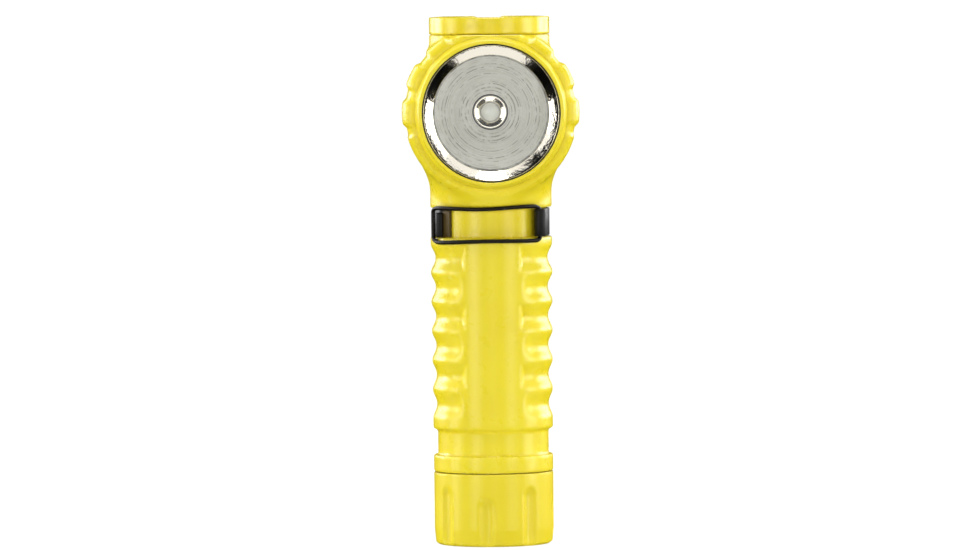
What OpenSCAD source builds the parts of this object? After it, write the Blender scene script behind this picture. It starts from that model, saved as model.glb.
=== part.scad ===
// Right-angle two-cell flashlight for firefighting gear.
// A moulded body holds a lamp head that faces sideways, a push button on top and a screw-on tail cap.
// A spring clip rides on a band round the neck, and a wire bail closes the band across the front.
// Z runs up the barrel from the tail face, the lamp faces -Y, and all sizes are in millimetres.

/* [Barrel] */
// Radius over the grip lands
barrel_r = 14.6; // [14.4:0.1:14.8]
// Radius of the plain waist above the tail collar
waist_r = 13.5; // [13.2:0.1:13.8]
// Radius of the two neck lands beside the band
neck_r = 14.8; // [14.7:0.1:14.9]
// Height of the neck's upper land, where the shoulder starts
neck_z = 88; // [87.5:0.1:88.2]
// Number of finger grooves on each side
groove_count = 6; // [3:1:6]
// Distance from one finger groove to the next
groove_pitch = 7.12; // [6.9:0.02:7.2]
// Depth of a finger groove
groove_depth = 1.0; // [0.6:0.1:1.2]

/* [Lamp head] */
// Height of the lamp's axis above the tail face
head_z = 105.4; // [104.8:0.1:105.5]
// Radius of the drum at the foot of the grip lugs
head_r = 20.6; // [20.4:0.1:20.8]
// Height of a grip lug above the drum
lug_h = 0.9; // [0.6:0.05:1]
// Number of grip lugs in a full turn
lug_count = 14; // [14:1:14]
// Radius of the front rim, which takes a slip-on filter
rim_r = 18.5; // [18.4:0.1:18.6]
// Distance from the barrel's axis forward to the front rim
rim_front = 22.5; // [22.4:0.1:23]
// Radius of the clear aperture
aperture_r = 14.05; // [13.95:0.05:14.15]
// Depth of the reflector bowl
bowl_depth = 13.5; // [13.3:0.1:13.6]

/* [Top switch] */
// Radius of the switch guard and the collar under it
guard_r = 14.65; // [14.5:0.05:14.8]
// Height from the tail face to the top of the guard
total_h = 128.7; // [128:0.1:129]
// Height of the seam under the guard
guard_seam_z = 124.3; // [124:0.1:124.4]
// Travel of the push button
button_travel = 1.2; // [0.8:0.1:1.2]

/* [Tail cap] */
// Height of the tail cap
cap_h = 17.8; // [17.7:0.1:17.9]
// Radius of the tail cap and the collar above it
cap_r = 14.55; // [14.4:0.05:14.7]
// Number of flutes round the tail cap, long and short in turn
flute_count = 8; // [6:2:8]
// Distance that one turn of the tail thread moves the cap
thread_pitch = 2.5; // [2.4:0.1:2.5]

/* [Clip and bail] */
// Height of the band's middle
clip_z = 78.8; // [78.7:0.1:78.9]
// Height of the bail's middle
bail_z = 78.2; // [78.1:0.1:78.3]
// Diameter of the bail's wire
wire_d = 1.0; // [0.9:0.05:1]
// Width of the band round the neck
band_w = 6.2; // [5.8:0.1:6.4]
// Thickness of the spring steel
steel_t = 0.8; // [0.7:0.05:0.8]
// Width of the clip arm
clip_w = 8.4; // [7.6:0.2:9]

/* [Cells] */
// Diameter of a cell
cell_d = 17.0; // [16.6:0.1:17.2]
// Length of a cell over its button
cell_l = 34.5; // [34:0.1:34.5]

/* [Hidden] */
$fn = 72;

YELLOW = "#e6d63e";
BLACK = "#222222";
STEEL = "#3a3a3c";
CHROME = "#d8d8dc";
ALUMINIUM = "#b8bcc2";
BRASS = "#c9a24a";
BOARD = "#1f5d3a";
WHITE = "#f2f2ee";

// Running gap between parts that move on each other, and the seat gap between fixed parts.
run_gap = 0.1;
seat_gap = 0.05;
solder_gap = 0.12;

// Tail stack, from the cap's floor up.
cap_floor = 3;
contact_t = 0.8;
spring_seat_z = cap_floor + contact_t;
retainer_top = spring_seat_z + 1;
cell_z = 10.5;
nub_h = 1;
nub_r = 3;
wrap_t = 0.15;
contact_z = cell_z + 2 * cell_l;
tube_in_r = cell_d / 2 + 0.4;
tube_r = 10.6;
tube_low_z = 6.2;
tube_top_z = 84;
wire_room_z = 89.4;
contact_post_z = 87;
tail_tube_r = 11.6;
tail_tube_top = 20;
seal_land_r = 12.4;
seal_land_z = 14.2;
seal_z = 15.8;
seal_r = 0.82;
seal_ring_r = 11.95;
collar_z = cap_h + 0.05;
collar_top = 22.0;
waist_top = 27.6;

// Thread: male crest inside the female root, female crest outside the male root.
male_crest_r = 12.3;
female_root_r = 12.45;
female_crest_r = 11.75;
ridge_foot = 1.5;
ridge_top = 0.8;
male_thread_z = 7.8;
female_thread_z = male_thread_z - thread_pitch / 2;
thread_turns = 2.1;
thread_steps = 32;

// Neck and band.
groove_half = 3.6;
groove_r = 13.4;
band_in_r = groove_r + seat_gap;
band_out_r = band_in_r + steel_t;
bail_r = neck_r + wire_d / 2 + 0.15;
hinge_a = -40.4;
leg_a = -156.7;
rail_half = 4.12;
rail_pinch = 0.42;
rail_tilt = 0.2;
corner_r = 1.1;
knuckle_r = 1.42;
knuckle_half = 2.95;
bead_r = 1.0;
bead_shift = 1.75;
band_tail_a = 13.7;
clip_seat_y = 14.3;
clip_in = clip_seat_y + seat_gap;
clip_steel_t = 1.0;
clip_gap = 4.2;
clip_bend_z = 86;
clip_base_z = 75.6;
rivet_dz = 1.7;
rivet_r = 0.9;

// Grip.
grip_low = waist_top + 0.6;
grip_top = clip_z - groove_half;
first_groove_z = 34.3;
groove_cut_r = 3;
panel_half = 7.4;

// Lamp stack, as distances forward of the barrel's axis.
drum_front = 17.6;
drum_back = -13.9;
shoulder_front = 14;
shoulder_back = -10;
plain_r = head_r + lug_h / 2;
body_top = guard_seam_z - seat_gap;
front_bore_r = 17.95;
front_bore_back = 11.2;
bowl_bore_r = 12.5;
driver_bore_r = 11.9;
driver_bore_front = -3;
driver_bore_back = -9;
bezel_in_r = 16.75;
chrome_front = 21.2;
chrome_back = 18.6;
chrome_out_r = 16.45;
lens_t = 1.6;
lens_back = chrome_back - 0.05 - lens_t;
lens_r = 16.35;
lens_seal_r = 15.7;
flange_front = 16.1;
flange_t = 0.9;
bowl_vertex = flange_front - bowl_depth;
bowl_wall = 0.8;
led_hole_r = 4.2;
led_ring_r = 4;
parabola = pow(aperture_r - 0.05, 2) / bowl_depth;
board_top = 2.8;
board_t = 1.6;
led_package_t = 0.7;
board_r = 8.6;
board_screw_r = 7;
lead_r = 0.6;
lead_ring_r = 6.8;
lead_hole_r = 0.8;
driver_front = -4.5;
driver_t = 1.6;
driver_r = 11.5;

// Switch stack, as heights above the tail face.
well_r = 10.2;
well_z = 118.5;
module_z = 120;
module_top = 123;
boot_flange_top = guard_seam_z - 0.05;
core_z = 124.9;
core_top = 126;
stem_r = 2.2;
stem_low = 121.4;
boot_r = 8.8;
boot_top = 127.5;
guard_open_r = 9;
skirt_in_r = 9.55;
skirt_z = 122.2;

function polar(r, a) = [r * cos(a), r * sin(a)];
function arc(c, r, a0, a1, n) = [for (i = [0:n]) c + polar(r, a0 + (a1 - a0) * i / n)];

// Points to the left and right of a centre line, as one closed outline of even thickness.
function ribbon(line, t) = let(
    n = len(line),
    side = [for (i = [0:n - 1]) let(
        d = line[min(i + 1, n - 1)] - line[max(i - 1, 0)], l = norm(d)) [-d[1], d[0]] / l * t / 2]
) concat([for (i = [0:n - 1]) line[i] + side[i]], [for (i = [n - 1:-1:0]) line[i] - side[i]]);

// One cubic stretch between two points that leaves and arrives along the given directions.
function cubic(a, da, b, db, n) = [for (i = [0:n]) let(u = i / n)
    a * pow(1 - u, 3) + 3 * (a + da) * u * pow(1 - u, 2) + 3 * (b - db) * u * u * (1 - u) + b * pow(u, 3)];

// A solid swept along rings of equal length, open with two end caps or closed on itself.
module skin(rings, closed = false) {
    m = len(rings[0]);
    n = len(rings);
    turns = closed ? n : n - 1;
    sides = [for (i = [0:turns - 1], k = [0:m - 1], half = [0, 1]) let(
        next_k = (k + 1) % m, row = i * m, next_row = ((i + 1) % n) * m,
        a = row + k, b = row + next_k, c = next_row + next_k, d = next_row + k)
        half == 0 ? [a, b, c] : [a, c, d]];
    caps = closed ? [] : [[for (k = [m - 1:-1:0]) k], [for (k = [0:m - 1]) (n - 1) * m + k]];
    polyhedron(points = [for (ring = rings, p = ring) p], faces = concat(sides, caps), convexity = 10);
}

// A round wire along a path, with one guide direction at each point to keep the rings from twisting.
module wire(path, guides, r, sides, closed = false) {
    n = len(path);
    skin([for (i = [0:n - 1]) let(
        before = closed ? path[(i + n - 1) % n] : path[max(i - 1, 0)],
        after = closed ? path[(i + 1) % n] : path[min(i + 1, n - 1)],
        t = (after - before) / norm(after - before),
        flat = guides[i] - (guides[i] * t) * t,
        u = flat / norm(flat), v = cross(t, u))
        [for (k = [0:sides - 1]) let(a = 360 * k / sides) path[i] + r * (cos(a) * u + sin(a) * v)]], closed);
}

// A coil spring about Z, whose radius runs from r0 at the bottom to r1 at the top.
module coil(z0, z1, r0, r1, wire_r, turns, steps, sides) {
    n = ceil(turns * steps);
    ends = [for (i = [0:n]) let(u = i / n, a = 360 * turns * u, r = r0 + (r1 - r0) * u)
        [r * cos(a), r * sin(a), z0 + wire_r + (z1 - z0 - 2 * wire_r) * u]];
    wire(ends, [for (i = [0:n]) let(a = 360 * turns * i / n) [cos(a), sin(a), 0]], wire_r, sides);
}

// A screw thread's ridge, from its foot inside the wall to its crest, tapered out at both ends.
module ridge(foot_r, crest_r, z0) {
    n = ceil(thread_turns * thread_steps);
    skin([for (i = [0:n]) let(
        a = 360 * i / thread_steps, z = z0 + thread_pitch * i / thread_steps,
        grown = min(1, 0.12 + i / 4, 0.12 + (n - i) / 4),
        tip = foot_r + (crest_r - foot_r) * grown,
        f = ridge_foot / 2, c = ridge_top / 2, up = crest_r > foot_r)
        [for (p = up ? [[foot_r, -f], [tip, -c], [tip, c], [foot_r, f]]
                     : [[foot_r, f], [tip, c], [tip, -c], [foot_r, -f]])
            [p[0] * cos(a), p[0] * sin(a), z + p[1]]]]);
}

// Lays its children out about the lamp's axis, with their +Z pointing forward out of the lamp.
module along_lamp() {
    translate([0, 0, head_z]) rotate([90, 0, 0]) children();
}

module ring(out_r, in_r, low, high) {
    translate([0, 0, low]) difference() {
        cylinder(r = out_r, h = high - low);
        translate([0, 0, -1]) cylinder(r = in_r, h = high - low + 2);
    }
}

module disc(r, low, high) {
    translate([0, 0, low]) cylinder(r = r, h = high - low);
}

module at_circle(r, count, first = 0) {
    for (i = [0:count - 1]) rotate(first + 360 * i / count) translate([r, 0, 0]) children();
}

// Body shell

module barrel_outline() {
    edge = 0.6;
    rotate_extrude() polygon(concat(
        [[0, collar_z], [cap_r, collar_z], [cap_r, collar_top - edge], [cap_r - edge, collar_top]],
        [[waist_r, collar_top], [waist_r, waist_top], [barrel_r - edge, grip_low]],
        [[barrel_r, grip_low + edge], [barrel_r, first_groove_z], [neck_r, grip_top - edge]],
        [[neck_r, neck_z], [0, neck_z]]));
}

module finger_grooves() {
    step = groove_pitch;
    for (i = [0:groove_count - 1]) {
        half = panel_half + (i % 2 == 0 ? 0.6 : 0);
        translate([0, 0, first_groove_z + step * i]) intersection() {
            rotate_extrude() translate([barrel_r - groove_depth + groove_cut_r, 0]) circle(r = groove_cut_r);
            for (s = [-1, 1]) translate([s * (half + 10), 0, 0]) cube([20, 30, 8], center = true);
        }
    }
}

function lug_profile(a) = let(
    pitch = 360 / lug_count,
    off = abs((a % pitch + 1.5 * pitch) % pitch - pitch / 2),
    t = min(1, max(0, (10.6 - off) / 4)))
    sin(a) < -0.24 ? plain_r : head_r + lug_h * t * t * (3 - 2 * t);

module drum() {
    round_n = 8;
    edge_n = 4;
    lip_r = rim_r + 0.1;
    out_r = head_r + lug_h;
    edge_depth = 4.2;
    along_lamp() intersection() {
        translate([-30, -30, drum_back]) cube([60, 30 + body_top - head_z, 40]);
        translate([0, 0, drum_back]) linear_extrude(drum_front - drum_back)
            polygon([for (a = [0:3:357]) polar(lug_profile(a), a)]);
        rotate_extrude() polygon(concat(
            [[0, drum_back]],
            [for (i = [0:round_n]) let(a = -90 + 90 * i / round_n)
                [12 + (out_r - 12) * cos(a), -3 + (-3 - drum_back) * sin(a)]],
            [for (i = [0:edge_n]) let(a = 90 * i / edge_n)
                [lip_r + (out_r - lip_r) * cos(a), drum_front - edge_depth * (1 - sin(a))]],
            [[0, drum_front]]));
    }
}

module shoulder() {
    hull() {
        translate([0, 0, neck_z - 0.2]) cylinder(r = neck_r, h = 0.2, $fn = 48);
        along_lamp() translate([0, 0, shoulder_back])
            cylinder(r = head_r, h = shoulder_front - shoulder_back, $fn = 48);
    }
}

module body_shell() {
    color(YELLOW) difference() {
        union() {
            barrel_outline();
            drum();
            intersection() {
                shoulder();
                disc(40, 0, body_top);
            }
            disc(guard_r, head_z, body_top);
        }
        finger_grooves();
        ring(20, groove_r, clip_z - groove_half, clip_z + groove_half);
        translate([-clip_w / 2 - 0.8, clip_seat_y, 73.4]) cube([clip_w + 1.6, 5, 17]);
        disc(tail_tube_r + seat_gap, collar_z - 1, tail_tube_top + seat_gap);
        disc(tube_r + run_gap, collar_z, wire_room_z);
        translate([0, 4, tube_top_z]) cylinder(r = 5, h = 14);
        along_lamp() {
            disc(front_bore_r, front_bore_back, drum_front + 1);
            disc(bowl_bore_r, driver_bore_front, front_bore_back + 1);
            disc(driver_bore_r, driver_bore_back, driver_bore_front + 1);
        }
        disc(well_r, well_z, guard_seam_z + 1);
        translate([0, 5.5, 112]) cylinder(r = 2.2, h = 8);
    }
}

// Lamp

module front_bezel() {
    edge = 1;
    lip = 0.3;
    foot = 14.5;
    spigot_r = front_bore_r - seat_gap;
    seat = drum_front + seat_gap;
    color(YELLOW) along_lamp() rotate_extrude() polygon(concat(
        [[bezel_in_r, foot], [spigot_r, foot], [spigot_r, seat], [rim_r, seat]],
        arc([rim_r - edge, rim_front - edge], edge, 0, 90, 4),
        [[bezel_in_r + lip, rim_front], [bezel_in_r, rim_front - lip]]));
}

module bezel_gasket() {
    color(BLACK) along_lamp() ring(bezel_in_r, chrome_out_r, chrome_front - 1.2, chrome_front);
}

module chrome_ring() {
    edge = 0.25;
    slope = 1.7;
    color(CHROME) along_lamp() rotate_extrude() polygon([
        [aperture_r, chrome_back], [chrome_out_r, chrome_back], [chrome_out_r, chrome_front - edge],
        [chrome_out_r - edge, chrome_front], [(aperture_r + chrome_out_r) / 2, chrome_front - 0.4 * slope],
        [aperture_r + edge, chrome_front - slope], [aperture_r, chrome_front - slope - edge]]);
}

module lens() {
    color([0.9, 0.95, 1, 0.35]) along_lamp() disc(lens_r, lens_back, lens_back + lens_t);
}

module lens_seal() {
    color(BLACK) along_lamp() translate([0, 0, (lens_back + flange_front) / 2]) rotate_extrude()
        translate([lens_seal_r, 0]) circle(r = (lens_back - flange_front) / 2 - 0.01);
}

module reflector() {
    n = 18;
    low = pow(led_hole_r, 2) / parabola;
    depths = [for (i = [0:n]) low + (bowl_depth - low) * i / n];
    inner = [for (d = depths) [sqrt(parabola * d), bowl_vertex + d]];
    outer = [for (i = [n:-1:0]) [inner[i][0] + bowl_wall, inner[i][1] - (i > 0 ? 0.2 : 0)]];
    color(CHROME) along_lamp() {
        union() {
            rotate_extrude() polygon(concat(inner, outer));
            ring(lens_r, aperture_r - 0.05, flange_front - flange_t, flange_front);
        }
    }
}

module led_package() {
    color(WHITE) along_lamp() translate([-2.5, -2.5, board_top]) cube([5, 5, led_package_t]);
}

module led_ring() {
    seat = board_top + led_package_t;
    color(CHROME) along_lamp() rotate_extrude() polygon([
        [2.45, seat], [led_ring_r, seat], [led_ring_r, seat + 0.8], [led_ring_r - 0.2, seat + 1],
        [led_ring_r - 0.4, seat + 0.9], [2.6, seat + 0.2], [2.45, seat + 0.1]]);
}

module led_dome() {
    color([1, 0.95, 0.6, 0.6]) along_lamp() intersection() {
        translate([0, 0, board_top + led_package_t]) sphere(r = 2.35);
        disc(3, board_top + led_package_t, board_top + 4);
    }
}

module led_insulator() {
    color(BLACK) along_lamp() ring(5.4, led_ring_r + 0.1, board_top,
        bowl_vertex + pow(led_hole_r, 2) / parabola - 0.02);
}

module led_board() {
    color(WHITE) along_lamp() difference() {
        disc(board_r, board_top - board_t, board_top);
        translate([0, 0, -2]) {
            at_circle(board_screw_r, 2, 90) cylinder(r = 0.95, h = 8);
            at_circle(lead_ring_r, 2) cylinder(r = lead_hole_r, h = 8);
        }
    }
}

module board_screws() {
    color(STEEL) along_lamp() at_circle(board_screw_r, 2, 90) difference() {
        union() {
            disc(0.8, -1.4, board_top + 0.3);
            disc(1.4, board_top, board_top + 0.8);
        }
        translate([0, 0, board_top + 0.3]) cylinder(r = 0.6, h = 1, $fn = 6);
    }
}

module heat_sink() {
    color(ALUMINIUM) along_lamp() difference() {
        disc(bowl_bore_r - run_gap, driver_bore_front, board_top - board_t);
        translate([0, 0, -1.5]) at_circle(board_screw_r, 2, 90) cylinder(r = 0.8, h = 8);
        translate([0, 0, -5]) at_circle(lead_ring_r, 2) cylinder(r = lead_hole_r, h = 9);
        translate([0, 0, driver_bore_front]) rotate_extrude()
            translate([bowl_bore_r, 2]) square([1.6, 0.8], center = true);
    }
}

module driver_spacer() {
    color(WHITE) along_lamp() ring(driver_bore_r - 0.2, 10.2, driver_front, driver_bore_front);
}

module driver_board() {
    color(BOARD) along_lamp() disc(driver_r, driver_front - driver_t, driver_front);
}

module driver_components() {
    back = driver_front - driver_t;
    chips = [[-4, 4.5, 4, 5, 1.2], [5.2, 3, 3, 3, 1], [-5, -4, 2, 1.2, 0.8], [-1.6, -5.4, 2, 1.2, 0.8],
             [2.2, -6.6, 2, 1.2, 0.8], [6.4, -2.6, 1.2, 2, 0.8]];
    color(BLACK) along_lamp() {
        for (c = chips) translate([c[0] - c[2] / 2, c[1] - c[3] / 2, back - c[4]]) cube([c[2], c[3], c[4]]);
        translate([1.6, -1.4, back - 2.2]) cylinder(r = 2.4, h = 2.2);
    }
}

// One lamp lead: a wire straight through the heat sink, with its solder dome on the lamp board.
module led_lead(side) {
    along_lamp() translate([side * lead_ring_r, 0, 0]) {
        disc(lead_r, driver_front, board_top + 0.2);
        intersection() {
            translate([0, 0, board_top - 0.5]) sphere(r = 1.2);
            disc(2, board_top, board_top + 2);
        }
    }
}

// Top switch

module switch_guard() {
    edge = 0.25;
    crown = 0.2;
    crown_w = 3;
    dip_half = 3.4;
    dip_flat = 2.8;
    dip_depth = 0.35;
    color(YELLOW) difference() {
        rotate_extrude() polygon([
            [skirt_in_r, skirt_z], [well_r - seat_gap, skirt_z], [well_r - seat_gap, guard_seam_z],
            [guard_r, guard_seam_z], [guard_r, total_h - crown - edge], [guard_r - edge, total_h - crown],
            [guard_r - crown_w, total_h], [guard_open_r + 1.4, total_h], [guard_open_r, total_h - 1.2],
            [guard_open_r, guard_seam_z], [skirt_in_r, guard_seam_z]]);
        translate([0, 0, total_h]) rotate([90, 0, 0]) linear_extrude(40, center = true) polygon([
            [-dip_half, 0], [-dip_flat, -dip_depth], [dip_flat, -dip_depth], [dip_half, 0], [dip_half, 1],
            [-dip_half, 1]]);
    }
}

module switch_boot() {
    n = 6;
    wall = 1;
    in_r = boot_r - wall;
    shoulder_z = 125.4;
    flange_low = module_top + 0.02;
    flange_r = skirt_in_r - seat_gap;
    dome = boot_top - shoulder_z;
    color(BLACK) rotate_extrude() polygon(concat(
        [[in_r, flange_low], [flange_r, flange_low], [flange_r, boot_flange_top], [boot_r, boot_flange_top]],
        [for (i = [0:n]) let(a = 90 * i / n) [boot_r * cos(a), shoulder_z + dome * sin(a)]],
        [for (i = [n:-1:0]) let(a = 90 * i / n) [in_r * cos(a), shoulder_z + (dome - wall) * sin(a)]]));
}

module button_core() {
    color(BLACK) union() {
        disc(stem_r, stem_low, core_z + 0.2);
        disc(6.2, core_z, core_top);
    }
}

module switch_spring() {
    color(STEEL) coil(module_top + 0.01, core_z - 0.01, 3.6, 3.6, 0.2, 2, 16, 6);
}

module switch_module() {
    color(BLACK) difference() {
        disc(9.4, module_z, module_top);
        disc(stem_r + run_gap, stem_low - button_travel - 0.15, module_top + 1);
    }
}

module switch_board() {
    color(BOARD) disc(9.4, well_z + 0.1, module_z);
}

module switch_leads() {
    color("#b03030") for (s = [-1, 1]) translate([0.9 * s, 5.3, head_z + driver_r])
        cylinder(r = 0.55, h = well_z + 0.1 - head_z - driver_r);
}

// Battery contacts and tube

module positive_contact() {
    color(BRASS) union() {
        disc(4, contact_z, contact_z + contact_t);
        disc(1.2, contact_z, contact_post_z);
    }
}

module contact_carrier() {
    color(BLACK) difference() {
        union() {
            disc(tube_in_r - run_gap, contact_z + contact_t + 0.02, tube_top_z);
            disc(tube_r - 0.05, tube_top_z, tube_top_z + 1.8);
        }
        disc(1.25, contact_z, 90);
        at_circle(9.7, 2) cylinder(r = 0.65, h = 100);
    }
}

module carrier_screws() {
    color(STEEL) at_circle(9.7, 2) {
        disc(0.55, 80.5, tube_top_z + 2);
        disc(0.9, tube_top_z + 1.8, tube_top_z + 2.6);
    }
}

module positive_lead() {
    foot = [0, 0, contact_post_z + solder_gap];
    head = [0, 5.3, head_z - driver_r - solder_gap];
    path = cubic(foot, [0, 0, 2], head, [0, 0, 2], 8);
    color("#b03030") wire(path, [for (p = path) [1, 0, 0]], 0.5, 8);
}

module ground_lead() {
    foot = [8.6, 0, 87.1];
    head = [3.4, 5.3, head_z - driver_r + 0.5 - solder_gap];
    path = cubic(foot, [-3, 1, 0.4], head, [0, 1, 5.4], 10);
    color(BLACK) wire(path, [for (p = path) [0, 1, 0]], 0.45, 8);
}

module battery_tube() {
    color(ALUMINIUM) difference() {
        union() {
            disc(tube_r, tube_low_z, tube_top_z);
            disc(tail_tube_r, tube_low_z, tail_tube_top);
            ring(seal_land_r, 11, seal_land_z, seal_z - seal_r - 0.08);
            ring(seal_land_r, 11, seal_z + seal_r + 0.08, cap_h);
            ridge(tail_tube_r - 0.3, male_crest_r, male_thread_z);
        }
        disc(tube_in_r, 0, 100);
        ring(14, seal_ring_r - seal_r - 0.03, seal_z - seal_r - 0.08, seal_z + seal_r + 0.08);
        at_circle(9.7, 2) translate([0, 0, 80.3]) cylinder(r = 0.6, h = 10);
    }
}

// A cell's can with its raised positive button.
module cell(low) {
    color(ALUMINIUM) union() {
        disc(cell_d / 2 - wrap_t, low, low + cell_l - nub_h);
        disc(nub_r, low, low + cell_l);
    }
}

// The shrink sleeve round a cell, turned in over both ends.
module cell_wrap(low) {
    top = low + cell_l - nub_h;
    color("#2d6b3f") ring(cell_d / 2, cell_d / 2 - wrap_t, low, top);
}

module tube_seal() {
    color(BLACK) translate([0, 0, seal_z]) rotate_extrude() translate([seal_ring_r, 0]) circle(r = seal_r);
}

// Tail cap

module tail_spring() {
    color(STEEL) coil(spring_seat_z + 0.01, cell_z - 0.01, 7.2, 3.6, 0.45, 3.5, 18, 6);
}

module tail_contact() {
    color(BRASS) union() {
        disc(10.9, cap_floor + 0.02, spring_seat_z);
        disc(2, spring_seat_z, spring_seat_z + 1.2);
    }
}

module flutes() {
    cut_r = 2.7;
    short_top = 12.5;
    long_top = 15;
    for (i = [0:flute_count - 1]) {
        top = i % 2 == 0 ? short_top : long_top;
        rotate(-98 + 360 / flute_count * i) translate([cap_r + cut_r - 0.95, 0, 0]) {
            translate([0, 0, -1]) cylinder(r = cut_r, h = top - cut_r + 1);
            translate([0, 0, top - cut_r]) sphere(r = cut_r);
        }
    }
}

module tail_cap() {
    edge = 1.1;
    foot_r = cap_r - 0.35;
    color(YELLOW) union() {
        difference() {
            rotate_extrude() polygon(concat(
                [[0, 0], [foot_r - edge, 0]],
                arc([foot_r - edge, edge], edge, -60, 0, 3),
                [[cap_r, cap_h - 0.3], [cap_r - 0.3, cap_h - 0.05], [0, cap_h - 0.05]]));
            flutes();
            disc(female_root_r, cap_floor, cap_h + 1);
            disc(seal_land_r + 0.4, seal_land_z - 0.4, cap_h + 1);
        }
        ridge(female_root_r + 0.3, female_crest_r, female_thread_z);
    }
}

module tail_retainer() {
    color(STEEL) ring(female_root_r - seat_gap, 9.9, spring_seat_z + 0.1, retainer_top);
}

// The sprung washer that carries current from the retainer to the lower end of the battery tube.
module ground_ring() {
    color(BRASS) ring(tail_tube_r - 0.2, 10, retainer_top + 0.02, tube_low_z - 0.02);
}

// Clip and bail

hinge_at = polar(bail_r, hinge_a);
leg_at = polar(bail_r, leg_a);

// Centre of the rolled bead that the bail's free end snaps behind.
bead_at = polar(band_out_r + bead_r - steel_t, leg_a) + polar(bead_shift, leg_a + 90);

// An upright cylinder centred on the bail's height.
module post(at, r, h) {
    translate([at[0], at[1], bail_z]) cylinder(r = r, h = h, center = true);
}

module rivet_holes() {
    for (s = [-1, 1]) translate([0, 10, clip_z + s * rivet_dz]) rotate([-90, 0, 0])
        cylinder(r = rivet_r, h = 10);
}

module clip_band() {
    tail_a = atan2(bead_at[1], bead_at[0]) + band_tail_a;
    color(STEEL) difference() {
        union() {
            translate([0, 0, clip_z - band_w / 2]) rotate([0, 0, hinge_a + 2])
                rotate_extrude(angle = 360 + tail_a - hinge_a - 2)
                    translate([band_in_r, 0]) square([steel_t, band_w]);
            post(hinge_at, knuckle_r, 2 * knuckle_half);
            post(bead_at, bead_r, 2 * knuckle_half);
        }
        post(hinge_at, wire_d / 2 + run_gap, 20);
        post(bead_at, 0.25, 20);
        rivet_holes();
    }
}

bend_c = [clip_in + clip_steel_t + clip_gap / 2, clip_bend_z];
bend_r = clip_gap / 2 + clip_steel_t / 2;
// Half the angle of the slit at the top of the return bend, where the arm flexes.
bend_split_a = 1.6;

module clip_prism(outline, width) {
    translate([-width / 2, 0, 0]) rotate([90, 0, 90]) linear_extrude(width) polygon(outline);
}

module clip_base() {
    centre = concat([[bend_c[0] - bend_r, clip_base_z]], arc(bend_c, bend_r, 180, 90 + bend_split_a, 8));
    color(STEEL) difference() {
        clip_prism(ribbon(centre, clip_steel_t), clip_w);
        rivet_holes();
    }
}

module clip_arm() {
    arm_y = bend_c[0] + bend_r;
    knee = [arm_y - 0.1, 52];
    touch = [clip_in + 1.4, 38.5];
    tip = [clip_in + 3.9, 32.5];
    centre = concat(
        arc(bend_c, bend_r, 90 - bend_split_a, 0, 8),
        [knee],
        [for (i = [1:9]) cubic(knee, [0, -5], touch, [0, -4], 9)[i]],
        [for (i = [1:5]) cubic(touch, [0, -3], tip, [1.4, -2], 5)[i]]);
    color(STEEL) intersection() {
        clip_prism(ribbon(centre, clip_steel_t), clip_w);
        union() {
            translate([-20, 0, 36]) cube([40, 40, 80]);
            translate([0, 0, 36.5]) rotate([-90, 0, 0]) cylinder(r = clip_w / 2 + 0.6, h = 40);
        }
    }
}

module clip_rivets() {
    seat = clip_in + clip_steel_t;
    color(STEEL) for (s = [-1, 1]) translate([0, 0, clip_z + s * rivet_dz]) rotate([-90, 0, 0]) {
        disc(rivet_r - 0.02, band_in_r + 0.1, seat + 0.1);
        translate([0, 0, seat]) cylinder(r1 = 1.5, r2 = 1.0, h = 0.6);
    }
}

// From -1 at the bail's latched leg to 1 at its hinge.
function lean(a) = 2 * (a - leg_a) / (hinge_a - leg_a) - 1;

// The bail's wire: two rails round the front of the neck, joined by an upright leg at each end.
module wire_bail() {
    rail_n = 22;
    corner_n = 4;
    span = leg_a - hinge_a;
    corner_a = corner_r / bail_r * 180 / PI;
    turn = [for (i = [0:corner_n]) let(a = 90 * i / corner_n) corner_r * [1 - cos(a), sin(a)]];
    // Each point is an angle round the neck and a height above the bail's middle, before the tilt.
    low_right = [for (t = turn) [hinge_a - corner_a * (t[0] / corner_r), -rail_half + corner_r - t[1]]];
    low_rail = [for (i = [1:rail_n - 1]) let(u = i / rail_n)
        [hinge_a - corner_a + (span + 2 * corner_a) * u, -rail_half + rail_pinch * pow(sin(180 * u), 2)]];
    low_left = [for (i = [corner_n:-1:0]) let(t = turn[i])
        [leg_a + corner_a * (t[0] / corner_r), -rail_half + corner_r - t[1]]];
    bottom = concat(low_right, low_rail, low_left);
    loop = concat(bottom, [for (i = [len(bottom) - 1:-1:0]) [bottom[i][0], -bottom[i][1]]]);
    color(BLACK) wire([for (p = loop) concat(polar(bail_r, p[0]), bail_z + p[1] + rail_tilt * lean(p[0]))],
        [for (p = loop) concat(polar(1, p[0]), 0)], wire_d / 2, 8, closed = true);
}

body_shell();
front_bezel();
bezel_gasket();
chrome_ring();
lens();
lens_seal();
reflector();
led_ring();
led_dome();
led_package();
led_insulator();
led_board();
board_screws();
heat_sink();
driver_spacer();
driver_board();
driver_components();
color("#b03030") led_lead(1);  // led_lead_red
color(BLACK) led_lead(-1);  // led_lead_black
switch_guard();
switch_boot();
button_core();
switch_spring();
switch_module();
switch_board();
switch_leads();
positive_contact();
contact_carrier();
carrier_screws();
positive_lead();
ground_lead();
battery_tube();
cell(cell_z + cell_l);  // upper_cell
cell_wrap(cell_z + cell_l);  // upper_cell_wrap
cell(cell_z);  // lower_cell
cell_wrap(cell_z);  // lower_cell_wrap
tube_seal();
tail_spring();
tail_contact();
tail_cap();
tail_retainer();
ground_ring();
clip_band();
clip_base();
clip_arm();
clip_rivets();
wire_bail();
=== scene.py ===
import math

import bmesh
import bpy
import numpy as np
from mathutils import Matrix, Vector


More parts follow.
